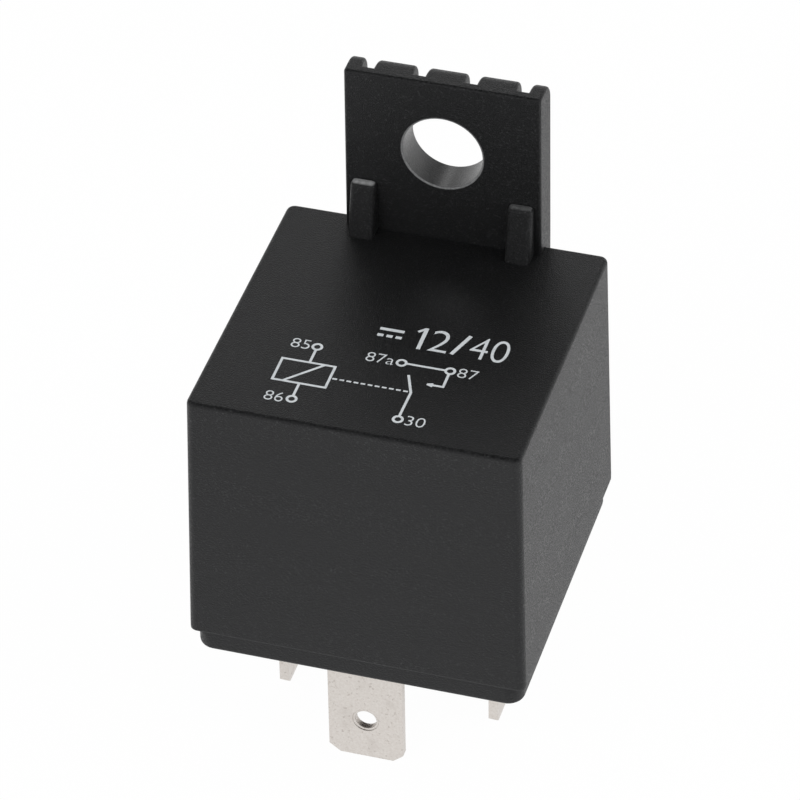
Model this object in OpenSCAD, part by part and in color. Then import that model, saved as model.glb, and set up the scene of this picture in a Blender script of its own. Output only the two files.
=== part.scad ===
// Automotive plug-in relay: moulded cover with a ribbed fixing tab, a base
// with five blade terminals, and a clapper mechanism sealed inside.
// The origin is the centre of the base's underside, +Z points up away from
// the socket, the front is at -Y and the fixing tab at +Y.

/* [Cover] */
// Outside width and depth of the cover at its rim
cover_side = 28; // [27:0.25:34]
// Height of the cover from rim to top
cover_h = 23.1; // [22:0.1:32]
// How far each side leans in between rim and top
cover_lean = 0.5; // [0.2:0.1:0.8]
// Thickness of the side walls
cover_wall = 1.2; // [0.9:0.1:1.6]
// Thickness of the top
cover_top = 1.4; // [1:0.1:2]
// Radius of the upright corners
cover_corner_r = 0.7; // [0.6:0.1:2]
// Radius of the edge round the top
cover_edge_r = 0.3; // [0.2:0.05:0.6]

/* [Fixing tab] */
// Width of the tab at its foot
tab_w = 16.4; // [14:0.2:20]
// How far each side of the tab leans in up to its top
tab_lean = 0.1; // [0:0.05:0.4]
// Height of the tab above the cover
tab_h = 15.2; // [14:0.1:20]
// Depth of the tab from its front to the back of its ribs
tab_d = 3.1; // [2.6:0.1:4]
// Thickness of the web between the ribs
web_t = 0.95; // [0.7:0.05:1.2]
// Distance of the tab's front from the rear edge of the top
tab_inset = 1.4; // [1.2:0.1:2.5]
// Width of the ribs at the tab's sides
end_rib_w = 1.125; // [0.9:0.025:1.6]
// Number of grooves down the back
groove_count = 4; // [2:2:4]
// Width of a groove at its mouth
groove_mouth = 1.25; // [1.1:0.05:2]
// Width of a groove at its floor
groove_floor = 1; // [0.8:0.05:1.1]
// Radius of the ribs' rear edges
rib_edge_r = 0.5; // [0.3:0.05:0.6]
// Radius of the fixing hole
hole_r = 3.3; // [2.6:0.1:4]
// Height of the hole's centre above the cover
hole_up = 8.5; // [8:0.1:10]
// Width of the ring of plastic round the hole
ring_w = 1.3; // [0.8:0.1:2]
// Radius of the ribs' rounded tops
rib_top_r = 1.6; // [0.8:0.1:1.8]
// Length of the ribs down the rear wall
rib_run = 8.6; // [6:0.2:14]

/* [Gussets] */
// Width of each gusset in front of the tab
gusset_w = 2.1; // [1.4:0.1:3]
// Distance from the tab's side to the gusset
gusset_inset = 0.6; // [0.1:0.1:1]
// Height of a gusset
gusset_h = 4.75; // [3:0.05:5]
// Depth of a gusset at its foot
gusset_foot = 1.75; // [1:0.05:2.5]
// Depth of a gusset at its top
gusset_tip = 0.65; // [0.3:0.05:0.9]

/* [Base] */
// Height of the base's flange below the cover's rim
flange_h = 2.2; // [1.5:0.1:3]
// Distance of the flange's edge inside the cover's rim
flange_inset = 0.4; // [0.2:0.1:0.8]
// Radius of the flange's corners
flange_corner_r = 1.4; // [1.2:0.1:2.4]
// Radius of the flange's lower edge
flange_edge_r = 0.4; // [0.2:0.05:0.6]
// Height of the plug that goes up into the cover
plug_h = 3.5; // [3:0.1:5]
// Thickness of the floor that the terminals' shoulders sit on
floor_t = 2.6; // [2.2:0.1:3]
// Radius of the snap ridges on the plug's sides
snap_r = 0.35; // [0.2:0.05:0.5]
// Length of the snap ridges
snap_l = 8; // [5:0.5:12]
// Radius of the breather hole in the floor
vent_r = 0.5; // [0.3:0.1:0.8]

/* [Blades] */
// Width of the blades
blade_w = 6.3; // [4.8:0.1:6.5]
// Thickness of the blades
blade_t = 0.8; // [0.6:0.1:1]
// Length of the blades below the base
blade_l = 10.5; // [8:0.1:14]
// Length of the cut corners at the tips
tip_cut = 0.9; // [0.6:0.1:1.8]
// Bevel of the tip's flat sides
tip_bevel = 0.18; // [0.1:0.02:0.3]
// Radius of the latch hole
latch_r = 0.9; // [0.6:0.1:1.2]
// Radius of the coined dimple round the latch hole
dimple_r = 1.1; // [1.1:0.05:1.6]
// Depth of that dimple on each side
dimple_d = 0.1; // [0.05:0.01:0.15]
// Height of the latch hole above the tip
latch_up = 4.1; // [3:0.1:5]
// Distance between the two coil blades
coil_pitch = 18; // [17:0.1:18.6]
// Place of the coil blades' centre, front to back
coil_blade_y = -2.2; // [-3:0.1:-1]
// Place of the centre blade, front to back
centre_blade_y = -1.8; // [-2.6:0.1:-0.6]
// Width of the shoulders that sit on the floor
shoulder_w = 7.3; // [7:0.1:8]
// Width of the tabs inside that the coil's leads are wound on
coil_tab_w = 2.6; // [2.2:0.1:3]
// Height of those tabs above the base's plug
coil_tab_h = 4.8; // [4:0.1:6]
// Width of the bar that joins the front and centre blades
bar_w = 4; // [3:0.2:5]
// Height of that bar above the base's floor
bar_h = 1.8; // [1.6:0.1:2.4]
// Inside radius of that bar's bends
bar_bend_r = 0.3; // [0.2:0.05:0.4]

/* [Magnet] */
// Thickness of the yoke's steel
yoke_t = 1.5; // [1.2:0.1:1.8]
// Width of the yoke
yoke_w = 14; // [13:0.2:15]
// Inside radius of the yoke's bend
yoke_bend_r = 0.5; // [0.3:0.1:0.8]
// Share of the winding's radius that the core takes up
core_share = 0.55; // [0.5:0.01:0.6]
// How far the pole face stands out round the core
pole_lip = 1.2; // [0.9:0.1:1.4]
// Thickness of the pole face
pole_t = 0.7; // [0.5:0.1:1]
// How far the core is turned down at its riveted foot
foot_step = 0.9; // [0.6:0.1:1.2]
// Thickness of the bobbin's barrel and flanges
bobbin_t = 0.7; // [0.5:0.05:0.9]
// How far the bobbin's flanges stand out past the winding
flange_lip = 0.8; // [0.5:0.1:1]
// Height of the wound wire's ridges
wire_d = 0.5; // [0.3:0.05:0.8]
// Thickness of the lead wires
lead_d = 0.4; // [0.3:0.05:0.5]
// Height above the base's plug at which a lead is wound on its tab
lead_up = 3.4; // [3:0.1:4]
// Distance from the tab at which a lead turns towards it
lead_reach = 3; // [2.4:0.1:3.6]
// How far in front of the coil blades' centre the leads run
lead_forward = 2.6; // [2.2:0.1:3]

/* [Armature] */
// Thickness of the armature
armature_t = 1.4; // [1:0.1:1.8]
// How far the armature stands out round the pole face
armature_lip = 1.3; // [0.9:0.1:1.6]
// Angle through which the coil pulls the armature
armature_travel = 2.4; // [1.5:0.1:3]
// Thickness of the leaf spring
leaf_t = 0.3; // [0.2:0.05:0.4]
// Width of the leaf spring
leaf_w = 6.4; // [5:0.2:7]
// Outward lean of the leaf behind the yoke
leaf_lean = 50; // [40:1:60]
// Inside radius of the leaf's loop
leaf_loop_r = 1.35; // [1.2:0.05:1.5]
// Inside radius of the leaf's bend behind the yoke
leaf_bend_r = 0.9; // [0.7:0.05:1.1]
// Length of the leaf between that bend and its loop
leaf_riser = 0.6; // [0.4:0.05:0.8]
// Height of the yoke's rivets above the base's plug
yoke_rivet_up = 6.5; // [6:0.1:7.5]
// Radius of the rivets
rivet_r = 0.8; // [0.6:0.05:1]
// Radius of the rivets' heads
rivet_head_r = 1.3; // [1.1:0.05:1.5]
// Height of the rivets' heads
rivet_head_h = 0.4; // [0.3:0.05:0.5]

/* [Contacts] */
// Radius of the contacts
contact_r = 1.7; // [1.4:0.1:2]
// Thickness of the contacts
contact_t = 0.7; // [0.5:0.05:0.9]
// Width of the arm that carries the fixed contact
arm_w = 4.4; // [4:0.1:5]
// Inside radius of the strips' bends
strip_bend_r = 0.5; // [0.3:0.1:0.7]
// Width of the rest stop's strip
stop_w = 4; // [3:0.2:5]
// Distance between the fixed contact's arm and the rest stop's upright
stop_gap = 3.4; // [2.6:0.1:4]

/* [Clearances] */
// Play round a terminal in its slot
slot_play = 0.05; // [0.03:0.01:0.1]
// Play between the plug and the cover
plug_play = 0.12; // [0.08:0.01:0.2]
// Play round rivets and the core
rivet_play = 0.02; // [0.02:0.01:0.04]
// Gap that is left between parts that meet as the armature moves
touch_gap = 0.03; // [0.02:0.01:0.06]
// Free height above the rest stop
head_room = 1.2; // [0.8:0.1:2]
// Gap between the front terminal and the cover
front_gap = 0.65; // [0.4:0.05:0.8]
// Gap between the leaf's loop and the cover
rear_gap = 0.75; // [0.5:0.05:1]
// Gap round the bobbin
coil_gap = 1.3; // [1:0.1:1.6]

/* [Hidden] */

$fn = 48;
// Overlap that joins two solids of one moulding
weld = 0.3;
// Overlap of a cutter past a face
past = 1;
// Segments in each rounded corner of an outline
arc_steps = 5;

// Levels, from the socket upwards
rim_z = flange_h;
base_top_z = rim_z + plug_h;
cover_top_z = rim_z + cover_h;
inner_top_z = cover_top_z - cover_top;
yoke_floor_z = base_top_z + yoke_t;
stop_t = blade_t;
stop_top_z = inner_top_z - head_room;
stop_face_z = stop_top_z - stop_t;
leaf_top_z = stop_face_z - touch_gap - rivet_head_h;
armature_top_z = leaf_top_z - leaf_t;
hinge_z = armature_top_z - armature_t;

// Half widths of the cover's inside at the rim and under the top
inner_rim = cover_side / 2 - cover_wall;
inner_top = inner_rim - cover_lean;

// Places from front to back
front_face_y = -inner_top + front_gap;
front_blade_y = front_face_y + blade_t / 2;
contact_y = front_face_y + blade_t + contact_r + 0.1;
arm_end_y = contact_y + contact_r + 0.1;
loop_reach = (leaf_bend_r + leaf_t) * (1 - cos(leaf_lean)) + leaf_riser * sin(leaf_lean)
    + leaf_loop_r * (1 - cos(leaf_lean)) + leaf_t;
leaf_climb = (leaf_bend_r + leaf_t) * sin(leaf_lean) + leaf_riser * cos(leaf_lean)
    + leaf_loop_r * (1 + sin(leaf_lean));
yoke_back_y = inner_top - rear_gap - loop_reach;
yoke_face_y = yoke_back_y - yoke_t;
flange_r = (yoke_face_y - arm_end_y) / 2 - coil_gap;
core_y = (yoke_face_y + arm_end_y) / 2;
winding_r = flange_r - flange_lip;
core_r = core_share * winding_r;
pole_r = core_r + pole_lip;
foot_r = core_r - foot_step;
armature_w = 2 * (pole_r + armature_lip);
yoke_front_y = core_y - armature_w / 2 + 0.3;
tenon_w = 2.6;
rear_blade_y = (core_y + foot_r + yoke_face_y - yoke_bend_r) / 2;

// Travel of the armature
pole_reach = yoke_back_y - core_y + pole_r;
pole_z = hinge_z - pole_reach * sin(armature_travel) - touch_gap;
contact_face_z = armature_top_z - contact_t;
contact_reach = yoke_back_y - contact_y + contact_r;
fixed_face_z = contact_face_z - contact_reach * sin(armature_travel) - touch_gap;
arm_top_z = fixed_face_z - contact_t;

// Places of the rivets
armature_rivet_x = leaf_w / 2 - rivet_head_r - 0.2;
armature_rivet_y = yoke_face_y - rivet_head_r;
yoke_rivet_z = base_top_z + yoke_rivet_up;
leaf_foot_z = yoke_rivet_z - rivet_head_r - 0.5;

function unit(v) = v / norm(v);

// Outline with rounded corners: each corner is [x, y, radius]
function corner_arc(before, at, after) =
    let (
        p = [at[0], at[1]],
        u = unit([before[0], before[1]] - p),
        v = unit([after[0], after[1]] - p),
        half = acos(u * v) / 2,
        r = at[2],
        centre = p + unit(u + v) * r / sin(half),
        first = p + u * r / tan(half) - centre,
        last = p + v * r / tan(half) - centre,
        start = atan2(first[1], first[0]),
        turn = (atan2(last[1], last[0]) - start + 540) % 360 - 180
    )
    r == 0 ? [p] : [
        for (k = [0 : arc_steps])
            centre + r * [cos(start + turn * k / arc_steps), sin(start + turn * k / arc_steps)]
    ];

function rounded(corners) = [
    for (i = [0 : len(corners) - 1])
        each corner_arc(
            corners[(i + len(corners) - 1) % len(corners)],
            corners[i],
            corners[(i + 1) % len(corners)]
        )
];

// A box centred on Z with rounded upright edges
module round_box(w, d, h, r)
    linear_extrude(h)
        polygon(rounded([
            [-w / 2, -d / 2, r], [w / 2, -d / 2, r], [w / 2, d / 2, r], [-w / 2, d / 2, r]
        ]));

// A block that leans in by `lean` on each side up to its rounded top edge
module drafted_block(w, h, lean, r, edge_r, land)
    hull()
        for (x = [-1, 1], y = [-1, 1]) {
            translate([x * (w / 2 - r), y * (w / 2 - r), 0])
                cylinder(r = r, h = land, $fn = 32);
            translate([x * (w / 2 - lean - r), y * (w / 2 - lean - r), h - edge_r])
                rotate_extrude($fn = 32)
                    translate([r - edge_r, 0])
                        circle(edge_r, $fn = 20);
        }

// Sheet metal: a strip that starts at the origin, runs up +Z with its
// thickness towards +Y, and follows its steps one after another.
// A step is ["run", length, width] or ["bend", angle, inside radius, width],
// where a positive angle turns the strip towards +Y.
module bent_strip(steps, t, i = 0)
    if (i < len(steps)) {
        step = steps[i];
        if (step[0] == "run") {
            translate([-step[2] / 2, 0, 0])
                cube([step[2], t, step[1]]);
            translate([0, 0, step[1]])
                bent_strip(steps, t, i + 1);
        } else {
            side = step[1] > 0 ? 1 : -1;
            axis_y = step[1] > 0 ? t + step[2] : -step[2];
            translate([0, axis_y, 0])
                rotate([90, 0, -90 * side])
                    rotate_extrude(angle = abs(step[1]))
                        translate([step[2], -step[3] / 2])
                            square([t, step[3]]);
            translate([0, axis_y, 0])
                rotate([-step[1], 0, 0])
                    translate([0, -axis_y, 0])
                        bent_strip(steps, t, i + 1);
        }
    }

// Wire along a list of points
module wire(points, d, sides = 8) {
    last = len(points) - 1;
    rings = [
        for (i = [0 : last])
            let (
                along = unit(points[min(i + 1, last)] - points[max(i - 1, 0)]),
                across = unit(cross(along, [0.31, 0.2, 0.93])),
                up = cross(across, along)
            )
            [for (k = [0 : sides - 1])
                points[i] + d / 2 * (across * cos(360 * k / sides) + up * sin(360 * k / sides))]
    ];
    polyhedron(
        points = [for (ring = rings) each ring],
        faces = concat(
            [[for (k = [0 : sides - 1]) k]],
            [for (i = [0 : last - 1], k = [0 : sides - 1]) [
                i * sides + k, (i + 1) * sides + k,
                (i + 1) * sides + (k + 1) % sides, i * sides + (k + 1) % sides
            ]],
            [[for (k = [sides - 1 : -1 : 0]) last * sides + k]]
        )
    );
}

// Where the tab stands
tab_front_y = cover_side / 2 - cover_lean - tab_inset;
tab_back_y = tab_front_y + tab_d;
tab_top_z = cover_top_z + tab_h;
hole_z = cover_top_z + hole_up;

// Plan of the tab: a web with ribs behind it, parted by grooves that widen
// towards their mouths
module tab_plan() {
    floor_r = 0.2;
    half = tab_w / 2;
    outermost = half - end_rib_w - groove_mouth / 2;
    grooves = [for (i = [0 : groove_count - 1]) outermost * (1 - 2 * i / (groove_count - 1))];
    polygon(rounded(concat(
        [[-half, 0, 0], [half, 0, 0], [half, tab_d, 0]],
        [for (x = grooves) each [
            [x + groove_mouth / 2, tab_d, rib_edge_r],
            [x + groove_floor / 2, web_t, floor_r],
            [x - groove_floor / 2, web_t, floor_r],
            [x - groove_mouth / 2, tab_d, rib_edge_r]
        ]],
        [[-half, tab_d, 0]]
    )));
}

// Side view of the tab, which trims the ribs at both ends
module tab_side() {
    low = cover_top_z - rib_run;
    polygon(rounded([
        [-past, low, 0], [tab_inset - 0.2, low, 0], [tab_d, low + rib_run * 0.55, 0],
        [tab_d, tab_top_z, rib_top_r], [-past, tab_top_z, 0]
    ]));
}

// Front view of the tab, which leans its sides in above the cover
module tab_front() {
    half = tab_w / 2;
    slope = tab_lean / tab_h;
    polygon([
        [-half - past, cover_top_z - rib_run - past], [half + past, cover_top_z - rib_run - past],
        [half + past, cover_top_z], [half, cover_top_z],
        [half - tab_lean - past * slope, tab_top_z + past],
        [-half + tab_lean + past * slope, tab_top_z + past],
        [-half, cover_top_z], [-half - past, cover_top_z]
    ]);
}

module tab() {
    translate([0, tab_front_y, 0])
        difference() {
            intersection() {
                union() {
                    translate([0, 0, cover_top_z - rib_run])
                        linear_extrude(tab_h + rib_run)
                            tab_plan();
                    translate([0, tab_d, hole_z])
                        rotate([90, 0, 0])
                            cylinder(r = hole_r + ring_w, h = tab_d - web_t / 2);
                }
                rotate([90, 0, 90])
                    linear_extrude(tab_w + 2 * past, center = true)
                        tab_side();
                translate([0, tab_d + past, 0])
                    rotate([90, 0, 0])
                        linear_extrude(tab_d + 2 * past)
                            tab_front();
            }
            translate([0, tab_d + past, hole_z])
                rotate([90, 0, 0])
                    cylinder(r = hole_r, h = tab_d + 2 * past);
        }
}

module gusset() {
    lean = gusset_foot - gusset_tip;
    translate([-gusset_w / 2, tab_front_y, cover_top_z])
        rotate([90, 0, 90])
            linear_extrude(gusset_w)
                polygon(rounded([
                    [weld, -weld, 0], [-gusset_foot, -weld, 0], [-gusset_foot, 0, 0],
                    [-gusset_foot + lean, gusset_h, 0.5], [weld, gusset_h, 0]
                ]));
}

// Radius of the upright corners inside the cover
cavity_r = max(cover_corner_r - cover_wall, 0) + 0.6;

module cover_cavity() {
    land = 0.5;
    hull()
        for (x = [-1, 1], y = [-1, 1]) {
            translate([x * (inner_rim - cavity_r), y * (inner_rim - cavity_r), -past])
                cylinder(r = cavity_r, h = land + past, $fn = 32);
            translate([x * (inner_top - cavity_r), y * (inner_top - cavity_r),
                       cover_h - cover_top - land])
                cylinder(r = cavity_r, h = land, $fn = 32);
        }
}

module snap_ridge(r)
    for (x = [-1, 1])
        translate([x * (plug_half - 0.1), 0, rim_z + plug_h / 2])
            rotate([90, 0, 0])
                cylinder(r = r, h = snap_l, center = true);

module cover() color([0.16, 0.16, 0.17]) {
    difference() {
        union() {
            translate([0, 0, rim_z])
                drafted_block(cover_side, cover_h, cover_lean, cover_corner_r, cover_edge_r, 0.5);
            intersection() {
                tab();
                translate([-tab_w, tab_front_y, cover_top_z - rib_run - past])
                    cube([2 * tab_w, 2 * tab_d, tab_h + rib_run + 2 * past]);
            }
            for (x = [-1, 1])
                translate([x * (tab_w / 2 - gusset_inset - gusset_w / 2), 0, 0])
                    gusset();
        }
        translate([0, 0, rim_z])
            cover_cavity();
        snap_ridge(snap_r + plug_play);
    }
}

plug_half = inner_rim - cover_lean * plug_h / cover_h - plug_play;

// Slot and shoulder pocket for a terminal that lies across X
module terminal_slot() {
    play = 2 * slot_play;
    translate([-(blade_w + play) / 2, -(blade_t + play) / 2, -past])
        cube([blade_w + play, blade_t + play, floor_t + 2 * past]);
    translate([-(shoulder_w + play) / 2, -(blade_t + play) / 2, floor_t])
        cube([shoulder_w + play, blade_t + play, plug_h + past]);
}

module base() color([0.14, 0.14, 0.15]) {
    side = cover_side - 2 * flange_inset;
    channel_w = bar_w + 0.8;
    pocket_in = 4.4;
    difference() {
        union() {
            translate([0, 0, flange_h])
                rotate([180, 0, 0])
                    drafted_block(side, flange_h, 0, flange_corner_r, flange_edge_r, 0.5);
            translate([0, 0, flange_h - weld])
                round_box(2 * plug_half, 2 * plug_half, plug_h + weld, cavity_r + 0.2);
            snap_ridge(snap_r);
            for (x = [-1, 1], y = [yoke_front_y + 1, core_y + 2])
                translate([x * (yoke_w / 2 + slot_play + 0.5), y + 1.5, base_top_z + 0.9])
                    cube([1, 3, 2.4], center = true);
        }
        translate([0, front_blade_y, 0]) terminal_slot();
        translate([0, centre_blade_y, 0]) terminal_slot();
        translate([0, rear_blade_y, 0]) rotate(90) terminal_slot();
        for (x = [-1, 1])
            translate([x * coil_pitch / 2, coil_blade_y, 0]) rotate(90) terminal_slot();
        translate([-channel_w / 2, front_blade_y, floor_t])
            cube([channel_w, centre_blade_y - front_blade_y, plug_h + past]);
        translate([stop_x - stop_t / 2 - slot_play, contact_y - stop_w / 2 - slot_play, floor_t])
            cube([stop_t + 2 * slot_play, stop_w + 2 * slot_play, plug_h + past]);
        for (x = [-1, 1])
            translate([x * (plug_half + yoke_w / 2 + 1) / 2, (plug_half + coil_blade_y + shoulder_w / 2) / 2,
                       floor_t])
                round_box(plug_half - yoke_w / 2 - 3, plug_half - coil_blade_y - shoulder_w / 2 - 2.6,
                          plug_h + past, 0.6);
        translate([pocket_in, -pocket_in - 1, -past])
            cylinder(r = vent_r, h = base_top_z + 2 * past);
    }
}

// A blade that hangs from the base, with its width across X: cut corners and
// bevelled sides at the tip, and a coined latch hole
module blade() {
    top = floor_t;
    low = -blade_l;
    difference() {
        intersection() {
            rotate([90, 0, 0])
                linear_extrude(blade_t, center = true)
                    polygon([
                        [-blade_w / 2, top], [-blade_w / 2, low + tip_cut],
                        [-blade_w / 2 + tip_cut, low], [blade_w / 2 - tip_cut, low],
                        [blade_w / 2, low + tip_cut], [blade_w / 2, top]
                    ]);
            rotate([90, 0, 90])
                linear_extrude(blade_w, center = true)
                    polygon([
                        [-blade_t / 2, top], [-blade_t / 2, low + tip_cut],
                        [-blade_t / 2 + tip_bevel, low], [blade_t / 2 - tip_bevel, low],
                        [blade_t / 2, low + tip_cut], [blade_t / 2, top]
                    ]);
        }
        translate([0, 0, low + latch_up])
            rotate([90, 0, 0]) {
                cylinder(r = latch_r, h = blade_t + 2 * past, center = true);
                for (side = [-1, 1])
                    translate([0, 0, side * blade_t / 2])
                        cylinder(r = dimple_r, h = 2 * dimple_d, center = true);
            }
    }
}

module shoulder(top_z)
    translate([-shoulder_w / 2, -blade_t / 2, floor_t])
        cube([shoulder_w, blade_t, top_z - floor_t]);

bar_top_z = floor_t + bar_h;

module terminal_87() color([0.78, 0.76, 0.72])
    translate([0, front_blade_y, 0]) {
        blade();
        difference() {
            union() {
                shoulder(base_top_z);
                translate([0, -blade_t / 2, base_top_z])
                    bent_strip([
                        ["run", arm_top_z - blade_t - strip_bend_r - base_top_z, arm_w],
                        ["bend", 90, strip_bend_r, arm_w],
                        ["run", arm_end_y - front_blade_y - blade_t / 2 - strip_bend_r, arm_w]
                    ], blade_t);
            }
            translate([0, contact_y - front_blade_y, arm_top_z])
                cylinder(r = rivet_r + rivet_play, h = 2 * blade_t + past, center = true);
        }
    }

module terminal_87a() color([0.78, 0.76, 0.72])
    translate([0, centre_blade_y, 0]) {
        blade();
        shoulder(bar_top_z);
    }

// The tab inside that the coil's lead is wound on
coil_tab_top_z = base_top_z + coil_tab_h;
lead_z = base_top_z + lead_up;
lead_notch = 0.45;
lead_turns = 2;

module coil_terminal(x)
    translate([x * coil_pitch / 2, coil_blade_y, 0])
        rotate(90) {
            blade();
            shoulder(base_top_z);
            difference() {
                translate([-coil_tab_w / 2, -blade_t / 2, base_top_z])
                    cube([coil_tab_w, blade_t, coil_tab_top_z - base_top_z]);
                for (side = [-1, 1])
                    translate([side * coil_tab_w / 2, 0, lead_z])
                        cube([2 * lead_notch, blade_t + past, (lead_turns + 2) * lead_d], center = true);
            }
        }

module terminal_85() color([0.78, 0.76, 0.72]) coil_terminal(-1);

module terminal_86() color([0.78, 0.76, 0.72]) coil_terminal(1);

module terminal_30() color([0.78, 0.76, 0.72])
    translate([0, rear_blade_y, 0])
        rotate(90) {
            blade();
            shoulder(base_top_z);
            translate([-tenon_w / 2, -blade_t / 2, base_top_z])
                cube([tenon_w, blade_t, yoke_t]);
        }

// Joins the front blade to the centre blade, down in the base's channel
module bridge_bar() color([0.8, 0.5, 0.32]) {
    upright = bar_h - blade_t - bar_bend_r;
    span = centre_blade_y - front_blade_y - blade_t;
    translate([0, front_blade_y + blade_t / 2, bar_top_z])
        rotate([180, 0, 0])
            translate([0, -blade_t, 0])
                bent_strip([
                    ["run", upright, bar_w],
                    ["bend", -90, bar_bend_r, bar_w],
                    ["run", span - 2 * (blade_t + bar_bend_r), bar_w],
                    ["bend", -90, bar_bend_r, bar_w],
                    ["run", upright, bar_w]
                ], blade_t);
}

module yoke() color([0.72, 0.72, 0.7])
    difference() {
        union() {
            translate([0, yoke_front_y, base_top_z])
                rotate([90, 0, 180])
                    bent_strip([
                        ["run", yoke_back_y - yoke_front_y - yoke_t - yoke_bend_r, yoke_w],
                        ["bend", 90, yoke_bend_r, yoke_w],
                        ["run", armature_top_z - base_top_z - yoke_t - yoke_bend_r, yoke_w]
                    ], yoke_t);
        }
        // Knife edge that the armature rocks on, between two ears
        translate([0, yoke_back_y, hinge_z - touch_gap])
            rotate([90, 0, 90])
                linear_extrude(armature_w + 4 * slot_play, center = true)
                    polygon([
                        [past, 0], [0, 0], [-yoke_t - past, -(yoke_t + past) * tan(2 * armature_travel)],
                        [-yoke_t - past, armature_t + past], [past, armature_t + past]
                    ]);
        translate([0, core_y, base_top_z - past])
            cylinder(r = foot_r + rivet_play, h = yoke_t + 2 * past);
        translate([0, rear_blade_y, base_top_z + yoke_t / 2])
            cube([blade_t + 2 * rivet_play, tenon_w + 2 * rivet_play, yoke_t + 2 * past], center = true);
        for (side = [-1, 1])
            translate([side * armature_rivet_x, yoke_back_y, yoke_rivet_z])
                rotate([90, 0, 0])
                    cylinder(r = rivet_r + rivet_play, h = 2 * yoke_t + past, center = true);
    }

module core() color([0.66, 0.66, 0.66])
    translate([0, core_y, 0]) {
        translate([0, 0, base_top_z])
            cylinder(r = foot_r, h = yoke_t);
        translate([0, 0, yoke_floor_z])
            cylinder(r = core_r, h = pole_z - yoke_floor_z);
        translate([0, 0, pole_z - pole_t])
            cylinder(r = pole_r, h = pole_t);
    }

bobbin_top_z = pole_z - pole_t;
barrel_r = core_r + slot_play + bobbin_t;

module bobbin() color([0.9, 0.88, 0.8])
    translate([0, core_y, 0])
        difference() {
            union() {
                translate([0, 0, yoke_floor_z])
                    cylinder(r = barrel_r, h = bobbin_top_z - yoke_floor_z);
                for (z = [yoke_floor_z, bobbin_top_z - bobbin_t])
                    translate([0, 0, z])
                        cylinder(r = flange_r, h = bobbin_t);
            }
            translate([0, 0, yoke_floor_z - past])
                cylinder(r = core_r + slot_play, h = bobbin_top_z - yoke_floor_z + 2 * past);
        }

wound_h = bobbin_top_z - yoke_floor_z - 2 * bobbin_t - 2 * slot_play;

module winding() color([0.72, 0.36, 0.16]) {
    rows = floor(wound_h / wire_d);
    pitch = wound_h / rows;
    translate([0, core_y, yoke_floor_z + bobbin_t + slot_play])
        rotate_extrude()
            polygon(concat(
                [[barrel_r + rivet_play, 0], [winding_r - pitch / 4, 0]],
                [for (i = [0 : rows - 1]) each [
                    [winding_r, (i + 0.3) * pitch], [winding_r, (i + 0.7) * pitch],
                    [winding_r - pitch / 4, (i + 1) * pitch]
                ]],
                [[barrel_r + rivet_play, wound_h]]
            ));
}

// From the winding's lowest turn to a few turns round the terminal's tab
module coil_lead(x) {
    start_r = winding_r + lead_d / 2 + rivet_play;
    start_angle = -62;
    tab_x = coil_pitch / 2;
    wrap_x = blade_t / 2 + 1.35 * lead_d;
    wrap_y = coil_tab_w / 2 - lead_notch + 1.6 * lead_d;
    low_z = yoke_floor_z + bobbin_t + lead_d;
    wrap_steps = 8;
    wire(concat(
        [
            [x * start_r * cos(start_angle), core_y + start_r * sin(start_angle), low_z],
            [x * (tab_x - lead_reach), coil_blade_y - lead_forward, low_z],
            [x * (tab_x - lead_reach / 2), coil_blade_y - 0.62 * lead_forward, lead_z - 1.5 * lead_d]
        ],
        [for (i = [0 : lead_turns * wrap_steps])
            let (a = 200 + i * 360 / wrap_steps)
            [
                x * (tab_x + wrap_x * cos(a)),
                coil_blade_y + wrap_y * sin(a),
                lead_z + lead_d * 1.1 * (i / wrap_steps - lead_turns / 2)
            ]]
    ), lead_d);
}

module coil_lead_85() color([0.75, 0.4, 0.18]) coil_lead(-1);

module coil_lead_86() color([0.75, 0.4, 0.18]) coil_lead(1);

module armature() color([0.7, 0.7, 0.72])
    difference() {
        union() {
            translate([0, core_y, hinge_z])
                cylinder(r = armature_w / 2, h = armature_t);
            translate([-armature_w / 2, core_y, hinge_z])
                cube([armature_w, yoke_back_y - core_y, armature_t]);
        }
        for (side = [-1, 1])
            translate([side * armature_rivet_x, armature_rivet_y, hinge_z - past])
                cylinder(r = rivet_r + rivet_play, h = armature_t + 2 * past);
    }

// Leaf from the yoke's back, round a loop over the hinge and along the
// armature to the moving contact
module contact_spring() color([0.82, 0.6, 0.35])
    difference() {
        translate([0, yoke_back_y, leaf_foot_z])
            bent_strip([
                ["run", armature_top_z - leaf_climb - leaf_foot_z, leaf_w],
                ["bend", leaf_lean, leaf_bend_r, leaf_w],
                ["run", leaf_riser, leaf_w],
                ["bend", -90 - leaf_lean, leaf_loop_r, leaf_w],
                ["run", yoke_back_y - core_y + pole_r, leaf_w],
                ["run", core_y - pole_r - contact_y + contact_r, arm_w]
            ], leaf_t);
        for (side = [-1, 1]) {
            translate([side * armature_rivet_x, armature_rivet_y, armature_top_z - past])
                cylinder(r = rivet_r + rivet_play, h = leaf_t + 2 * past);
            translate([side * armature_rivet_x, yoke_back_y, yoke_rivet_z])
                rotate([90, 0, 0])
                    cylinder(r = rivet_r + rivet_play, h = 4 * leaf_t + past, center = true);
        }
        translate([0, contact_y, armature_top_z - past])
            cylinder(r = rivet_r + rivet_play, h = leaf_t + 2 * past);
    }

// A rivet through a stack of height `grip`, with its head on top
module rivet(grip) {
    cylinder(r = rivet_r, h = grip);
    translate([0, 0, grip])
        cylinder(r1 = rivet_head_r, r2 = rivet_head_r - 0.35, h = rivet_head_h);
}

module armature_rivets() color([0.75, 0.72, 0.62])
    for (side = [-1, 1])
        translate([side * armature_rivet_x, armature_rivet_y, hinge_z + touch_gap])
            rivet(armature_t + leaf_t - touch_gap);

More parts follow.
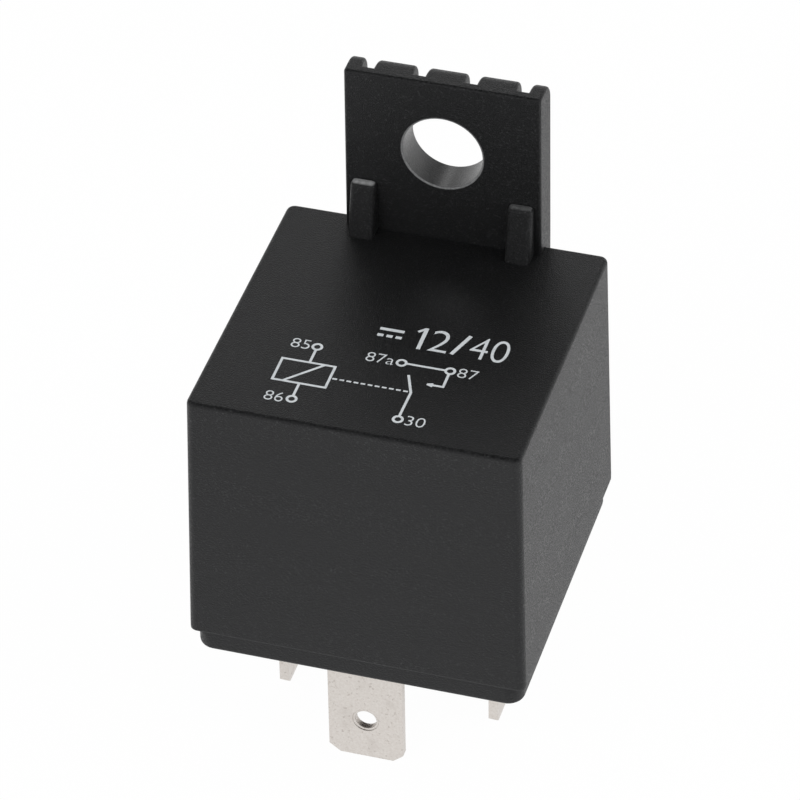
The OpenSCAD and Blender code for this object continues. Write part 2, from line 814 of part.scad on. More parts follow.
module yoke_rivets() color([0.75, 0.72, 0.62])
    for (side = [-1, 1])
        translate([side * armature_rivet_x, yoke_face_y, yoke_rivet_z])
            rotate([-90, 0, 0])
                rivet(yoke_t + leaf_t);

module contact_button(grip) {
    cylinder(r = contact_r, h = contact_t);
    translate([0, 0, contact_t])
        cylinder(r = rivet_r, h = grip);
    translate([0, 0, contact_t + grip])
        cylinder(r1 = rivet_head_r, r2 = rivet_head_r - 0.35, h = rivet_head_h);
}

module moving_contact() color([0.86, 0.86, 0.84])
    translate([0, contact_y, contact_face_z])
        contact_button(leaf_t);

module fixed_contact() color([0.86, 0.86, 0.84])
    translate([0, contact_y, fixed_face_z])
        rotate([180, 0, 0])
            contact_button(blade_t);

stop_x = -(arm_w / 2 + stop_gap);

// Stands in the base and holds the leaf down where it rests
module rest_stop() color([0.75, 0.74, 0.7])
    translate([stop_x - stop_t / 2, contact_y, floor_t])
        rotate(-90)
            bent_strip([
                ["run", stop_face_z - strip_bend_r - floor_t, stop_w],
                ["bend", 90, strip_bend_r, stop_w],
                ["run", contact_r - stop_x - stop_t / 2 - strip_bend_r, stop_w]
            ], stop_t);

cover();
base();
terminal_87();
terminal_87a();
terminal_85();
terminal_86();
terminal_30();
bridge_bar();
yoke();
core();
bobbin();
winding();
coil_lead_85();
coil_lead_86();
armature();
contact_spring();
armature_rivets();
yoke_rivets();
moving_contact();
fixed_contact();
rest_stop();
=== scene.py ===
import math

import bmesh
import bpy
from mathutils import Matrix, Vector


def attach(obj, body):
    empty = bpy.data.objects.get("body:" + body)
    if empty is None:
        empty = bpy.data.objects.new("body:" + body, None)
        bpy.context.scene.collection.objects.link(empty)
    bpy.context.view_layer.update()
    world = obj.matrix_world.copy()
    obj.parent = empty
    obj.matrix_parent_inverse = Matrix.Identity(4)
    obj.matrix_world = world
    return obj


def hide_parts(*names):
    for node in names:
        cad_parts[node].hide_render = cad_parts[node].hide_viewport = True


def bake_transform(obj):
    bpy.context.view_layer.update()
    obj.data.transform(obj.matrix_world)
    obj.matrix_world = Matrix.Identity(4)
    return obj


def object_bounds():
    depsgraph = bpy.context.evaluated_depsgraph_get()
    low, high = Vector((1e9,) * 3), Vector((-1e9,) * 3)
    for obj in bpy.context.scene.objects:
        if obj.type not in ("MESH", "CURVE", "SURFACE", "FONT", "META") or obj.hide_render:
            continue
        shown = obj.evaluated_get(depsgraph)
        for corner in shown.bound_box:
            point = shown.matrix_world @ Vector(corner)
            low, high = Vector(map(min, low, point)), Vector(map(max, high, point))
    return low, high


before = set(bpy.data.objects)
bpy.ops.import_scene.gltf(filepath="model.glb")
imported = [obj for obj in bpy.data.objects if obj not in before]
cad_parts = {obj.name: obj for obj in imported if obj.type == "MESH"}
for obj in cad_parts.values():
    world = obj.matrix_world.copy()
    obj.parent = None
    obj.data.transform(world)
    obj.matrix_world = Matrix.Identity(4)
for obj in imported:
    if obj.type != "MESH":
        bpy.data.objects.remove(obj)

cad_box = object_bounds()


# ---------------------------------------------------------------------------
# Cover: one moulding of black glass-filled plastic, snapped over the base's
# ridges. Its drafted box carries the fixing tab on the rear edge: a web with
# five ribs behind it, a boss round the screw hole, and two gussets at the foot.

cover_side, cover_height, cover_rim = 0.0280, 0.0231, 0.0022
cover_top = cover_rim + cover_height
cover_lean, cover_land = 0.0005, 0.0005
cover_corner, cover_edge = 0.0007, 0.00034
wall, roof, cavity_corner = 0.0012, 0.0014, 0.0006
tab_front, tab_depth, tab_web = 0.0121, 0.0031, 0.00095
tab_half, tab_lean, tab_top = 0.0082, 0.0001, 0.0405
rib_low, rib_full, rib_foot_depth = 0.0167, 0.02143, 0.0012
hole_high, hole_radius, hole_rim, boss_radius = 0.0338, 0.0033, 0.00014, 0.0046
gusset_width, gusset_height, gusset_inset = 0.0021, 0.00475, 0.0006
seat_radius, seat_half, seat_out, seat_rise = 0.00047, 0.004, 0.012504, 0.00175
touch = 1e-6  # points nearer than this are taken as level or as one
past = 0.001  # how far a cutting shape runs past the wall it cuts


def rounded(work, edges, radius, segments, clamped=False):
    """Rounds the given edges of a bmesh."""
    bmesh.ops.bevel(work, geom=edges, offset=radius, offset_type="OFFSET",
                    segments=segments, profile=0.5, affect="EDGES",
                    clamp_overlap=clamped, material=-1)


def scored(work, height):
    """Adds a line of edges all round a bmesh at that height."""
    bmesh.ops.bisect_plane(work, geom=work.verts[:] + work.edges[:] + work.faces[:],
                           plane_co=(0, 0, height), plane_no=(0, 0, 1))


def drafted_box(half, half_top, low, land, high, corner, edge):
    """A box that leans in above its land, with rounded upright and upper edges."""
    work = bmesh.new()
    bmesh.ops.create_cube(work, size=2.0)
    bmesh.ops.scale(work, verts=work.verts, vec=(half, half, (high - low) / 2))
    bmesh.ops.translate(work, verts=work.verts, vec=(0, 0, (high + low) / 2))
    scored(work, low + land)
    upper = [v for v in work.verts if v.co.z > high - touch]
    bmesh.ops.scale(work, verts=upper, vec=(half_top / half, half_top / half, 1))
    upright = [e for e in work.edges
               if abs(e.verts[0].co.z - e.verts[1].co.z) > touch]
    rounded(work, upright, corner, segments=6)
    if edge:
        ring = [e for e in work.edges if min(v.co.z for v in e.verts) > high - touch]
        rounded(work, ring, edge, segments=4)
    return work


def turned(profile, place, axis, steps):
    """A solid of revolution: `profile` lists (distance along the axis, radius)."""
    work = bmesh.new()
    points = [work.verts.new((radius, 0, along)) for along, radius in profile]
    line = [work.edges.new(pair) for pair in zip(points, points[1:])]
    bmesh.ops.spin(work, geom=points + line, cent=(0, 0, 0), axis=(0, 0, 1),
                   angle=math.tau, steps=steps, use_merge=True)
    bmesh.ops.remove_doubles(work, verts=work.verts, dist=touch / 10)
    bmesh.ops.recalc_face_normals(work, faces=work.faces)
    turn = Vector(axis).to_track_quat("Z", "X").to_matrix().to_4x4()
    bmesh.ops.transform(work, matrix=Matrix.Translation(place) @ turn, verts=work.verts)
    return work


def rod(start, end, radius, place, steps):
    """A round bar that lies from front to rear."""
    return turned([(start, 0), (start, radius), (end, radius), (end, 0)],
                  place, (0, 1, 0), steps)


def points_in(made):
    """The vertices in what an extrusion returns."""
    return [v for v in made if isinstance(v, bmesh.types.BMVert)]


def ribbed_tab():
    """The tab's web and ribs, drawn in plan, raised, and then rounded."""
    grooves, groove_mouth, groove_floor, end_rib = 4, 0.000625, 0.0005, 0.001125
    crest_radius, rib_edge, front_edge = 0.0016, 0.00036, 0.00026
    outermost = tab_half - end_rib - groove_mouth
    centres = [outermost * (2 * i / (grooves - 1) - 1) for i in range(grooves)]
    stops = [-tab_half]
    stops += [x + side * groove_floor for x in centres for side in (-1, 1)]
    stops += [tab_half]
    work = bmesh.new()
    plan = [work.verts.new((x, 0, rib_low)) for x in stops]
    line = [work.edges.new(pair) for pair in zip(plan, plan[1:])]

    def deepened(edges, depth):
        """Draws edges out rearwards, and returns the new ones that run across."""
        made = bmesh.ops.extrude_edge_only(work, edges=edges)["geom"]
        bmesh.ops.translate(work, verts=points_in(made), vec=(0, depth, 0))
        return [e for e in made if isinstance(e, bmesh.types.BMEdge)
                and abs(e.verts[0].co.y - e.verts[1].co.y) < touch / 10]

    web_back = sorted(deepened(line, tab_web),
                      key=lambda e: e.verts[0].co.x + e.verts[1].co.x)
    for rib in web_back[::2]:
        for back in deepened([rib], tab_depth - tab_web):
            middle = sum(v.co.x for v in back.verts) / 2
            for point in back.verts:
                if abs(point.co.x) < tab_half - touch:
                    inwards = 1 if point.co.x < middle else -1
                    point.co.x += inwards * (groove_mouth - groove_floor)
    raised = bmesh.ops.extrude_face_region(work, geom=work.faces[:])["geom"]
    bmesh.ops.translate(work, verts=points_in(raised), vec=(0, 0, tab_top - rib_low))
    for height in (rib_full, cover_top):
        scored(work, height)
    for point in work.verts:
        if point.co.z < rib_low + touch and point.co.y > tab_web + touch:
            point.co.y = rib_foot_depth
        if point.co.z > tab_top - touch:
            point.co.x *= 1 - tab_lean / tab_half
    bmesh.ops.recalc_face_normals(work, faces=work.faces)

    def corner(edge):
        """Whether an edge is a sharp outer one above the ribs' feet."""
        return (len(edge.link_faces) == 2 and edge.is_convex
                and edge.calc_face_angle() > math.radians(40)
                and max(v.co.z for v in edge.verts) > rib_low + 10 * touch)

    crests = [e for e in work.edges
              if all(v.co.z > tab_top - touch and v.co.y > tab_depth - touch
                     for v in e.verts)]
    rounded(work, crests, crest_radius, segments=8, clamped=True)
    behind = [e for e in work.edges
              if corner(e) and max(v.co.y for v in e.verts) > tab_web - touch]
    rounded(work, behind, rib_edge, segments=4, clamped=True)
    ahead = [e for e in work.edges
             if corner(e) and max(v.co.y for v in e.verts) < touch]
    rounded(work, ahead, front_edge, segments=4, clamped=True)
    bmesh.ops.translate(work, verts=work.verts, vec=(0, tab_front, 0))
    return work


def gusset(side):
    """A wedge between the tab and the cover's top, with rounded front edges."""
    foot, tip, weld, edge_radius = 0.00175, 0.00065, 0.0003, 0.00042
    middle = tab_half - gusset_inset - gusset_width / 2
    work = bmesh.new()
    bmesh.ops.create_cube(work, size=1.0)
    for point in work.verts:
        high, back = point.co.z > 0, point.co.y > 0
        point.co.x *= gusset_width
        point.co.z = gusset_height if high else -weld
        point.co.y = weld if back else (-tip if high else -foot)
    exposed = [e for e in work.edges if min(v.co.y for v in e.verts) < 0
               and max(v.co.z for v in e.verts) > 0]
    rounded(work, exposed, edge_radius, segments=5)
    bmesh.ops.translate(work, verts=work.verts, vec=(side * middle, tab_front, cover_top))
    return work


def piece(name, work, level=True):
    """A new object made from a bmesh, at the origin, shaded smooth up to an angle."""
    for face in work.faces:
        face.smooth = True
    mesh = bpy.data.meshes.new(name)
    work.to_mesh(mesh)
    work.free()
    mesh.set_sharp_from_angle(angle=math.radians(35))
    thing = bpy.data.objects.new(name, mesh)
    bpy.context.scene.collection.objects.link(thing)
    if level:
        flat = thing.modifiers.new("flat_faces_stay_flat", "WEIGHTED_NORMAL")
        flat.keep_sharp = True
    return thing


def moulded(name, first, joined, cut):
    """One solid: `first` with the `joined` shapes added and the `cut` ones taken away."""
    thing = piece("raw", first, level=False)
    helpers = []
    for operation, shapes in (("UNION", joined), ("DIFFERENCE", cut)):
        for shape in shapes:
            helper = piece("helper", shape, level=False)
            helpers.append(helper)
            step = thing.modifiers.new(operation, "BOOLEAN")
            step.operation, step.object, step.solver = operation, helper, "EXACT"
    work = bmesh.new()
    work.from_object(thing, bpy.context.evaluated_depsgraph_get())
    for spare in helpers + [thing]:
        bpy.data.objects.remove(spare)
    bmesh.ops.remove_doubles(work, verts=work.verts, dist=touch)
    bmesh.ops.dissolve_limit(work, angle_limit=math.radians(0.3), verts=work.verts,
                             edges=work.edges)
    return piece(name, work)


half = cover_side / 2
inner = half - wall
body = drafted_box(half, half - cover_lean, cover_rim, cover_land, cover_top,
                   cover_corner, cover_edge)
hole_place = (0, tab_front, hole_high)
boss = rod(tab_web / 2, tab_depth, boss_radius, hole_place, steps=64)
wide, slant = hole_radius + hole_rim, 0.3 * hole_rim
bore = turned([(-past, 0), (-past, wide), (0, wide), (slant, hole_radius + slant),
               (hole_rim, hole_radius), (tab_depth - hole_rim, hole_radius),
               (tab_depth - slant, hole_radius + slant), (tab_depth, wide),
               (tab_depth + past, wide), (tab_depth + past, 0)],
              hole_place, (0, 1, 0), steps=96)
cavity = drafted_box(inner, inner - cover_lean, cover_rim - past, past + cover_land,
                     cover_top - roof, cavity_corner, 0)
snap_seats = [rod(-seat_half, seat_half, seat_radius,
                  (side * seat_out, 0, cover_rim + seat_rise), steps=24)
              for side in (-1, 1)]
cover_shell = moulded("cover_shell", body, [ribbed_tab(), boss, gusset(-1), gusset(1)],
                      [cavity, bore] + snap_seats)


class Value:
    """One output of a shader tree; sums on it add the Math nodes."""

    def __init__(self, recipe, socket):
        self.recipe = recipe
        self.socket = socket

    def maths(self, operation, *values):
        return self.recipe.node("ShaderNodeMath", {"operation": operation},
                                dict(enumerate(values)))

    def __add__(self, other):
        return self.maths("ADD", self, other)

    def __sub__(self, other):
        return self.maths("SUBTRACT", self, other)

    def __rsub__(self, other):
        return self.maths("SUBTRACT", other, self)

    def __mul__(self, other):
        return self.maths("MULTIPLY", self, other)

    def __abs__(self):
        return self.maths("ABSOLUTE", self)

    __radd__ = __add__
    __rmul__ = __mul__

    def between(self, low, high):
        """0 below `low`, 1 above `high`, and smooth between them."""
        return self.recipe.node(
            "ShaderNodeMapRange", {"interpolation_type": "SMOOTHSTEP"},
            {"Value": self, "From Min": low, "From Max": high})


class Recipe:
    """The nodes of one material or of the world."""

    def __init__(self, owner):
        self.owner = owner
        owner.use_nodes = True
        self.tree = owner.node_tree
        self.tree.nodes.clear()

    def node(self, kind, settings, inputs, output=0):
        """A node with its settings, its sockets' values or links, and one output."""
        node = self.tree.nodes.new(kind)
        for name, value in settings.items():
            setattr(node, name, value)
        for key, value in inputs.items():
            self.feed(node.inputs[key], value)
        return Value(self, node.outputs[output])

    def feed(self, socket, value):
        if isinstance(value, Value):
            self.tree.links.new(value.socket, socket)
        else:
            socket.default_value = value

    def place(self):
        """The point on the object, in its own coordinates."""
        return self.node("ShaderNodeTexCoord", {}, {}, "Object")

    def axis(self, point, letter):
        """One coordinate of a point."""
        return self.node("ShaderNodeSeparateXYZ", {}, {0: point}, letter)

    def distance(self, point, centre, reach):
        """How far a point is from a centre; a zero in `reach` leaves that axis out."""
        offset = tuple(-c * r for c, r in zip(centre, reach))
        spot = self.node("ShaderNodeMapping", {},
                         {0: point, "Location": offset, "Scale": reach})
        return self.node("ShaderNodeVectorMath", {"operation": "LENGTH"},
                         {0: spot}, "Value")

    def noise(self, size, detail, stretch=(1, 1, 1), roughness=0.5, seed=0.0):
        """Noise whose lumps are about `size` metres across."""
        spot = self.node("ShaderNodeMapping", {}, {
            0: self.place(),
            "Location": (seed, seed, seed),
            "Scale": tuple(k / size for k in stretch),
        })
        return self.node("ShaderNodeTexNoise", {}, {
            "Vector": spot, "Scale": 1.0, "Detail": detail, "Roughness": roughness,
        }, "Fac")

    def mixed(self, first, second, factor):
        """One colour turning into another as the factor goes from 0 to 1.

        The Mix node's colours are its sockets 6 and 7, and its third output.
        """
        return self.node("ShaderNodeMix", {"data_type": "RGBA"},
                         {0: factor, 6: first, 7: second}, 2)

    def bump(self, height, depth):
        """A surface whose relief is `depth` metres deep."""
        return self.node("ShaderNodeBump", {}, {"Height": height, "Distance": depth})

    def ends(self, kind, surface):
        """Ends the tree, and returns the material or world that it belongs to."""
        self.feed(self.tree.nodes.new(kind).inputs["Surface"], surface)
        return self.owner

    def shaded(self, **sockets):
        """Ends a material with one Principled shader; constants sit on its sockets."""
        inputs = {name.replace("_", " "): value for name, value in sockets.items()}
        return self.ends("ShaderNodeOutputMaterial",
                         self.node("ShaderNodeBsdfPrincipled", {}, inputs))


def grey(value, warm):
    """A colour of that lightness, from bluish (below 0) to warm (above 0)."""
    return (value * (1 + warm), value, value * (1 - warm), 1.0)


def moulded_plastic(name, tone, grain, painted_edges=None):
    """Matt black moulding: eroded grain, faint flow marks, specks of glass and dust, and
    any painted edge highlights.
    """
    flow_size, fleck_size, grain_depth = 0.006, 0.00016, 0.000075
    recipe = Recipe(bpy.data.materials.new(name))
    fine = recipe.noise(grain, detail=2.0)
    coarse = recipe.noise(grain * 2.8, detail=1.0, seed=4.0)
    flow = recipe.noise(flow_size, detail=3.0, stretch=(1.0, 1.0, 0.5), seed=9.0)
    fleck = recipe.noise(fleck_size, detail=1.0, seed=17.0).between(0.58, 0.74)
    speckle = fine.between(0.34, 0.66)
    hollows, peaks = grey(0.1 * tone, -0.03), grey(3.2 * tone, -0.03)
    glass, highlight_and_wear_grey = grey(9.0 * tone, -0.02), grey(0.42, -0.01)
    colour = recipe.mixed(hollows, peaks, speckle * 0.8 + flow * 0.2)
    colour = recipe.mixed(colour, glass, fleck * 0.6)
    rough = 0.27 + flow * 0.06 + speckle * 0.28
    polish = 0.0
    # painted highlights, with some wear and dust: a paler grey mixed in on the edges that
    # the mask picks
    if painted_edges:
        highlight_and_wear, polish = painted_edges(recipe)
        colour = recipe.mixed(colour, highlight_and_wear_grey, highlight_and_wear * (0.35 + 0.65 * coarse))
    relief = recipe.bump(fine * 0.85 + coarse * 0.15, grain_depth)
    return recipe.shaded(Base_Color=colour, Roughness=rough, Normal=relief, IOR=1.5,
                         Specular_IOR_Level=0.335, Specular_Tint=(0.97, 0.97, 1.0, 1.0),
                         Coat_Weight=polish, Coat_Roughness=0.34)


def painted_edge_highlights(recipe):
    """Painted highlights as paler grey on the hole's rim, the gussets' tips (with some
    wear) and the open edge (with faint dust); polished inside.
    """
    spot = recipe.place()
    across, back, high = [recipe.axis(spot, letter) for letter in "XYZ"]
    off_axis = recipe.distance(spot, (0, 0, hole_high), (1, 0, 1))
    off_rim = abs(off_axis - (hole_radius + 0.5 * hole_rim))
    front = 1 - back.between(tab_front + 0.00003, tab_front + 0.00016)
    # painted highlight: paler grey on the screw hole's front rim
    rim = (1 - off_rim.between(0.00004, 0.00013)) * front
    inside = 1 - off_axis.between(hole_radius + 0.00001, hole_radius + 0.00006)
    # painted highlight on the gussets' tips, with some edge wear
    tip = cover_top + gusset_height
    tips = (high.between(tip - 0.00020, tip - 0.00005)
            * (1 - high.between(tip + 0.00005, tip + 0.00015))
            * (1 - back.between(tab_front - 0.00012, tab_front - 0.00002))
            * (1 - 0.75 * across.between(-0.001, 0.001)))
    # painted highlight along the cover's bottom edge, with faint dust
    bottom_edge_highlight_and_dust = 1 - high.between(cover_rim + 0.00003, cover_rim + 0.00010)
    highlight_and_wear, polish = rim * 0.6 + tips * 0.8 + bottom_edge_highlight_and_dust * 0.09, inside * 0.8
    return highlight_and_wear, polish


cover_shell.data.materials.append(
    moulded_plastic("black_moulding", tone=0.0038, grain=0.00011, painted_edges=painted_edge_highlights))
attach(cover_shell, "root")
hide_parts("cover")

# ---------------------------------------------------------------------------
# Pad print: a skin of pale grey ink on the cover's top. It is the usual wiring
# sign of such a relay with its plain terminal numbers, and a direct-current
# sign with two plain numbers. All is drawn in millimetres from the top's middle.

mm = 0.001
ink_high, ink_thick = cover_top + 0.000004, 0.000014
plain, thin, bold = 0.21, 0.17, 0.32
ring_radius = 0.36


def stroke(start, end, width, longer=0.0):
    """A straight ink line that runs `longer` past its two ends."""
    way = Vector(end) - Vector(start)
    middle = (Vector(start) + Vector(end)) / 2
    turn = Matrix.Rotation(math.atan2(way.y, way.x), 3, "Z")
    work = bmesh.new()
    bmesh.ops.create_cube(work, size=1.0)
    bmesh.ops.scale(work, verts=work.verts, vec=(way.length + 2 * longer, width, 1))
    bmesh.ops.rotate(work, verts=work.verts, matrix=turn)
    bmesh.ops.translate(work, verts=work.verts, vec=(middle.x, middle.y, 0))
    return work


def ring(x, y):
    """The circle that stands for a terminal."""
    inside, outside = ring_radius - plain / 2, ring_radius + plain / 2
    return turned([(-0.5, inside), (-0.5, outside), (0.5, outside), (0.5, inside),
                   (-0.5, inside)], (x, y, 0), (0, 0, 1), steps=40)


def figures(text, width, height):
    """Plain figures as a flat mesh one unit thick, centred on the origin."""
    thickness, thinner = 1.0, 0.012
    curve = bpy.data.curves.new(text, "FONT")
    curve.body, curve.size = text, 1.0
    curve.extrude, curve.offset = thickness / 2, -thinner
    sign = bpy.data.objects.new(text, curve)
    bpy.context.scene.collection.objects.link(sign)
    bpy.context.view_layer.update()
    work = bmesh.new()
    work.from_mesh(sign.evaluated_get(bpy.context.evaluated_depsgraph_get()).to_mesh())
    bpy.data.objects.remove(sign)
    corner = [min(v.co[k] for v in work.verts) for k in (0, 1)]
    size = [max(v.co[k] for v in work.verts) - corner[k] for k in (0, 1)]
    bmesh.ops.translate(work, verts=work.verts,
                        vec=(-corner[0] - size[0] / 2, -corner[1] - size[1] / 2, 0))
    bmesh.ops.scale(work, verts=work.verts, vec=(width / size[0], height / size[1], 1))
    bmesh.ops.remove_doubles(work, verts=work.verts, dist=touch)
    return work


def added(work, other, x, y):
    """Puts one bmesh into another, at that place."""
    bmesh.ops.translate(other, verts=other.verts, vec=(x, y, 0))
    spare = bpy.data.meshes.new("spare")
    other.to_mesh(spare)
    other.free()
    work.from_mesh(spare)
    bpy.data.meshes.remove(spare)


# the coil: a box with a slash, between the rings of terminals 85 and 86
left, right, near, far = -7.85, -3.52, -8.80, -6.10
lead = -5.63
drawn = [stroke((left, near), (right, near), plain, plain / 2),
         stroke((left, far), (right, far), plain, plain / 2),
         stroke((left, near), (left, far), plain),
         stroke((right, near), (right, far), plain),
         stroke((-7.02, near), (-4.36, far), plain)]
for y, inwards, meets in ((-4.06, -1, far), (-10.81, 1, near)):
    drawn += [ring(lead, y), stroke((lead, y + inwards * 0.38), (lead, meets), plain)]
# the dashed link from the coil to the moving contact
dashes, first, link, pitch, dash = 11, right + 0.20, -7.56, 0.575, 0.66
for i in range(dashes):
    drawn.append(stroke((first + i * pitch, link),
                        (first + (i + dash) * pitch, link), thin))
# the contacts: 87a and 87 joined above, the lever on 30, and the arrow from 87
joint, arrow = -4.23, -6.28
drawn += [ring(1.32, joint), ring(5.28, joint), ring(3.02, -11.02)]
drawn += [stroke((1.70, joint), (4.90, joint), plain),
          stroke((5.28, -4.61), (5.28, arrow), plain),
          stroke((5.38, arrow), (4.15, arrow), plain),
          stroke((3.98, arrow), (4.45, arrow + 0.17), thin),
          stroke((3.98, arrow), (4.45, arrow - 0.17), thin),
          stroke((2.30, -5.60), (3.07, -7.62), plain, 0.05),
          stroke((3.07, -7.60), (3.02, -10.66), plain)]
# the direct-current sign, the figure 1 and the slash
drawn += [stroke((-1.55, -0.45), (0.45, -0.45), bold),
          stroke((2.05, -2.22), (2.05, 0.50), bold),
          stroke((1.98, 0.38), (1.48, -0.10), thin + 0.06),
          stroke((4.75, -2.15), (5.65, 0.45), bold)]
for x in (-1.30, -0.55, 0.20):
    drawn.append(stroke((x - 0.25, -1.25), (x + 0.25, -1.25), bold))
lines = moulded("lines", drawn[0], drawn[1:], [])
ink = bmesh.new()
ink.from_mesh(lines.data)
bpy.data.objects.remove(lines)
# figures, each with its middle's place, its width and its height
for text, x, y, width, height in (("85", -7.00, -3.98, 1.52, 1.14),
                                  ("86", -7.06, -10.82, 1.52, 1.14),
                                  ("87a", -0.42, -4.12, 2.30, 1.14),
                                  ("87", 6.72, -4.24, 1.60, 1.14),
                                  ("30", 4.42, -10.98, 1.56, 1.14),
                                  ("2", 3.50, -0.86, 1.55, 2.72),
                                  ("40", 7.55, -0.86, 3.10, 2.75)):
    added(ink, figures(text, width, height), x, y)
bmesh.ops.scale(ink, verts=ink.verts, vec=(mm, mm, ink_thick))
bmesh.ops.translate(ink, verts=ink.verts, vec=(0, 0, ink_high))
bmesh.ops.recalc_face_normals(ink, faces=ink.faces)
print_on_top = piece("pad_print", ink, level=False)


def pad_ink():
    """Pale ink, a little thin where the pad lifted."""
    recipe = Recipe(bpy.data.materials.new("pale_ink"))
    full, starved = (0.60, 0.63, 0.65, 1.0), (0.42, 0.45, 0.47, 1.0)
    thinness = recipe.noise(0.0004, detail=3.0, seed=5.0).between(0.45, 0.80)
    speck = recipe.noise(0.00012, detail=1.0, seed=8.0).between(0.60, 0.80)
    colour = recipe.mixed(full, starved, thinness * 0.6 + speck * 0.3)
    return recipe.shaded(Base_Color=colour, Roughness=0.5 + thinness * 0.15,
                         Normal=recipe.bump(speck, 0.000003), Specular_IOR_Level=0.3)


print_on_top.data.materials.append(pad_ink())
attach(print_on_top, "root")

# ---------------------------------------------------------------------------
# Base: a second moulding of the same black plastic, whose flange shows below
# the cover. Plain raised figures beside its slots number the blades.

number_width, number_height, number_thick = 1.05, 1.7, 0.0003


def cleaned(node):
    """The node's exact form as one mesh of whole faces."""
    work = bmesh.new()
    work.from_mesh(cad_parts[node].data)
    bmesh.ops.remove_doubles(work, verts=work.verts, dist=2 * touch)
    bmesh.ops.dissolve_limit(work, angle_limit=math.radians(0.5), verts=work.verts,
                             edges=work.edges, use_dissolve_boundaries=False)
    return work


def softened(node, radius, segments, sharp):
    """The node's form with its edges rounded, where they turn more than an angle."""
    work = cleaned(node)
    edges = [e for e in work.edges
             if len(e.link_faces) == 2 and e.calc_face_angle(0.0) > math.radians(sharp)]
    rounded(work, edges, radius, segments, clamped=True)
    return work


base_shell = piece("base_shell", softened("base", radius=0.00006, segments=2, sharp=28))
base_plastic = moulded_plastic("base_moulding", tone=0.0037, grain=0.00014)
base_shell.data.materials.append(base_plastic)
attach(base_shell, "root")
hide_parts("base")

numbers = bmesh.new()
for text, x, y in (("87", -6.2, -10.9), ("87a", 5.6, -1.8), ("85", -9.0, 3.6),
                   ("86", 9.0, 3.6), ("30", -2.6, 6.4)):
    sign = figures(text, number_width * len(text), number_height)
    # turned over, to be read from below
    bmesh.ops.rotate(sign, verts=sign.verts, matrix=Matrix.Rotation(math.pi, 3, "X"))
    added(numbers, sign, x, y)
bmesh.ops.scale(numbers, verts=numbers.verts, vec=(mm, mm, number_thick))
bmesh.ops.recalc_face_normals(numbers, faces=numbers.faces)
blade_numbers = piece("blade_numbers", numbers, level=False)
blade_numbers.data.materials.append(base_plastic)
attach(blade_numbers, "root")

# ---------------------------------------------------------------------------
# Blade terminals: 0.8 mm brass strip, tin plated, stamped and coined. The tin
# is matt and finely mottled, with small pits and faint darker stains.


def tinned():
    """Matt tin over brass."""
    recipe = Recipe(bpy.data.materials.new("tinned_strip"))
    dull, bright = (0.635, 0.590, 0.550, 1.0), (0.760, 0.725, 0.690, 1.0)
    tarnish = (0.400, 0.355, 0.320, 1.0)
    rolling = recipe.noise(0.0005, detail=3.0, stretch=(3.0, 3.0, 0.5))
    mottle = recipe.noise(0.00022, detail=3.0, roughness=0.6, seed=11.0)
    mottle = mottle.between(0.30, 0.70)
    stain = recipe.noise(0.0022, detail=4.0, seed=3.0).between(0.50, 0.80)
    pit = recipe.noise(0.00024, detail=2.0, seed=7.0).between(0.60, 0.72)
    clean = recipe.mixed(dull, bright, mottle * 0.7 + rolling * 0.3)
    colour = recipe.mixed(clean, tarnish, stain * 0.25 + pit * 0.50)
    rough = 0.36 + mottle * 0.12 + stain * 0.10
    skin = recipe.bump(mottle * 0.6 + rolling * 0.4 - pit * 0.6, 0.000010)
    return recipe.shaded(Base_Color=colour, Roughness=rough, Normal=skin, Metallic=1.0)


tin = tinned()
for number in ("87", "87a", "85", "86", "30"):
    terminal = "terminal_" + number
    blade = piece(terminal + "_strip",
                  softened(terminal, radius=0.00009, segments=3, sharp=20))
    blade.data.materials.append(tin)
    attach(blade, "root")
    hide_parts(terminal)

# ---------------------------------------------------------------------------
# Magnet and contacts inside the cover: a zinc-plated steel yoke, a plated
# soft-iron core and armature, an enamelled copper winding on a nylon bobbin,
# brass rivets, silver contacts and a tinned stop. They keep their CAD forms.

wire_pitch = 0.0005


def plated(name, dark, light, grain, stretch, rough):
    """Rolled or turned metal: fine lines along it, cloudy plating, small dull spots."""
    recipe = Recipe(bpy.data.materials.new(name))
    dull = tuple(0.55 * c for c in dark[:3]) + (1.0,)
    lines = recipe.noise(grain, detail=4.0, stretch=stretch)
    cloud = recipe.noise(0.0016, detail=3.0, seed=6.0)
    spot = recipe.noise(0.0003, detail=2.0, seed=13.0).between(0.64, 0.78)
    colour = recipe.mixed(dark, light, lines * 0.5 + cloud * 0.5)
    colour = recipe.mixed(colour, dull, spot * 0.5)
    return recipe.shaded(Base_Color=colour, Roughness=rough + cloud * 0.12,
                         Normal=recipe.bump(lines, 0.000005), Metallic=1.0)


def wound_copper():
    """Enamelled wire: reddish lacquer over copper, with a shallow groove between turns."""
    recipe = Recipe(bpy.data.materials.new("enamelled_wire"))
    lacquer, copper = (0.30, 0.075, 0.022, 1.0), (0.62, 0.215, 0.070, 1.0)
    phase = recipe.axis(recipe.place(), "Z") * (math.tau / wire_pitch)
    turns = phase.maths("SINE", phase)
    cloud = recipe.noise(0.0012, detail=2.0, seed=2.0)
    colour = recipe.mixed(lacquer, copper, turns * 0.3 + cloud * 0.5 + 0.1)
    return recipe.shaded(Base_Color=colour, Roughness=0.24 + cloud * 0.12,
                         Normal=recipe.bump(turns + cloud * 0.2, 0.00004), Metallic=0.85,
                         Coat_Weight=0.5, Coat_Roughness=0.12)


def nylon():
    """Natural nylon: creamy, slightly cloudy, with a faint satin grain."""
    recipe = Recipe(bpy.data.materials.new("natural_nylon"))
    deep, pale = (0.66, 0.62, 0.50, 1.0), (0.80, 0.77, 0.66, 1.0)
    cloud = recipe.noise(0.002, detail=3.0)
    grain = recipe.noise(0.00015, detail=2.0, seed=3.0)
    colour = recipe.mixed(deep, pale, cloud * 0.7 + grain * 0.3)
    return recipe.shaded(Base_Color=colour, Roughness=0.40 + grain * 0.15,
                         Normal=recipe.bump(grain, 0.000008))


